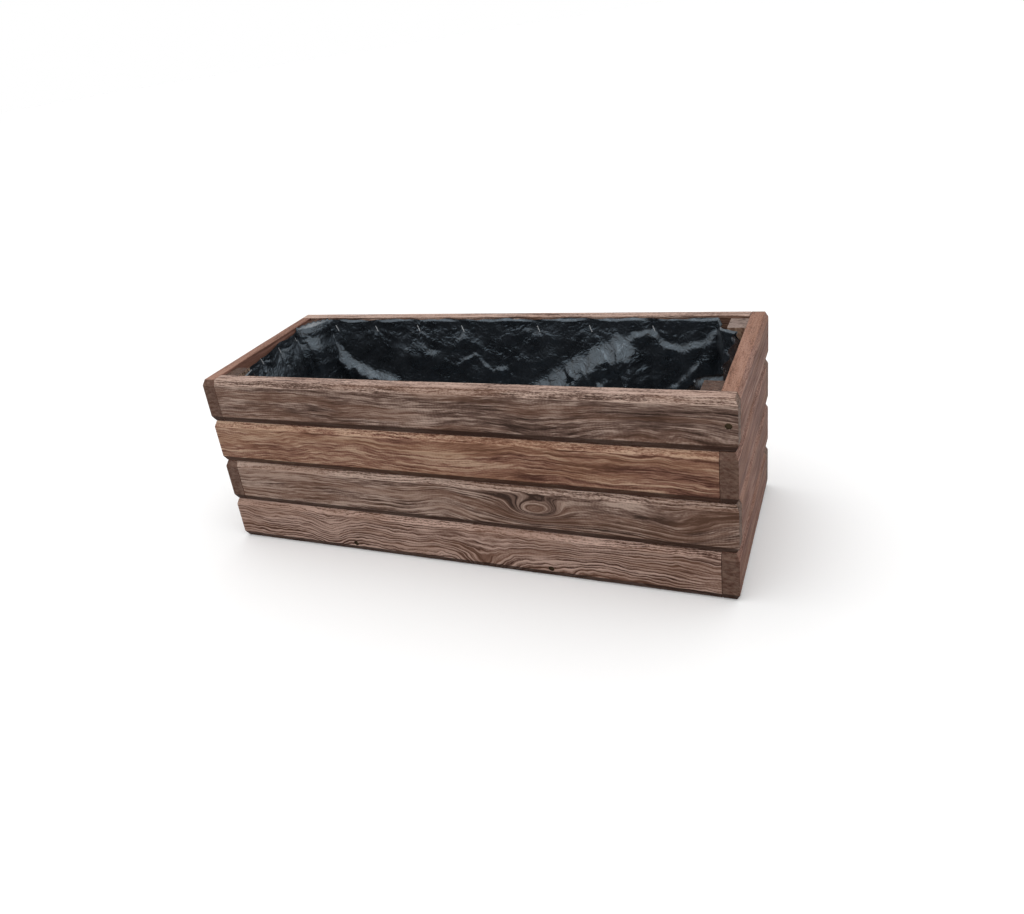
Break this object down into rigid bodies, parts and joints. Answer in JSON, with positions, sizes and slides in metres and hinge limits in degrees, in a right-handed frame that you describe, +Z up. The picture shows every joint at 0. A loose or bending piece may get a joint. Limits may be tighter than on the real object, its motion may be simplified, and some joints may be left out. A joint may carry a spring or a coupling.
{
  "type": "planter box",
  "caption": "Long low planter box of stained, chamfered slats that lap by turns at the corners, with posts, a boarded floor and a stapled black foil liner.",
  "frame": {"origin": "on the ground, in the middle of the box's footprint", "axes": "+X along the length to the right, +Y to the back wall, +Z up"},
  "size_m": [0.78, 0.3, 0.28],
  "materials": {
    "stained_wood": "brown stain, planed",
    "sawn_wood": "brown stain, sawn",
    "foil": "glossy black film",
    "screw_steel": "dark zinc",
    "staple_steel": "bright wire"
  },
  "bodies": {
    "root": {"front_slat_1": "stained_wood", "right_slat_1": "stained_wood", "back_slat_1": "stained_wood", "left_slat_1": "stained_wood", "front_slat_2": "stained_wood", "right_slat_2": "stained_wood", "back_slat_2": "stained_wood", "left_slat_2": "stained_wood", "front_slat_3": "stained_wood", "right_slat_3": "stained_wood", "back_slat_3": "stained_wood", "left_slat_3": "stained_wood", "front_slat_4": "stained_wood", "right_slat_4": "stained_wood", "back_slat_4": "stained_wood", "left_slat_4": "stained_wood", "corner_post_front_left": "sawn_wood", "corner_post_front_right": "sawn_wood", "corner_post_back_left": "sawn_wood", "corner_post_back_right": "sawn_wood", "floor_batten_left": "sawn_wood", "floor_batten_right": "sawn_wood", "floor_board_1": "sawn_wood", "floor_board_2": "sawn_wood", "floor_board_3": "sawn_wood", "foil_liner": "foil", "lap_screws": "screw_steel", "batten_screws": "screw_steel", "post_screws": "screw_steel", "board_screws": "screw_steel", "liner_staples": "staple_steel"}
  },
  "joints": []
}
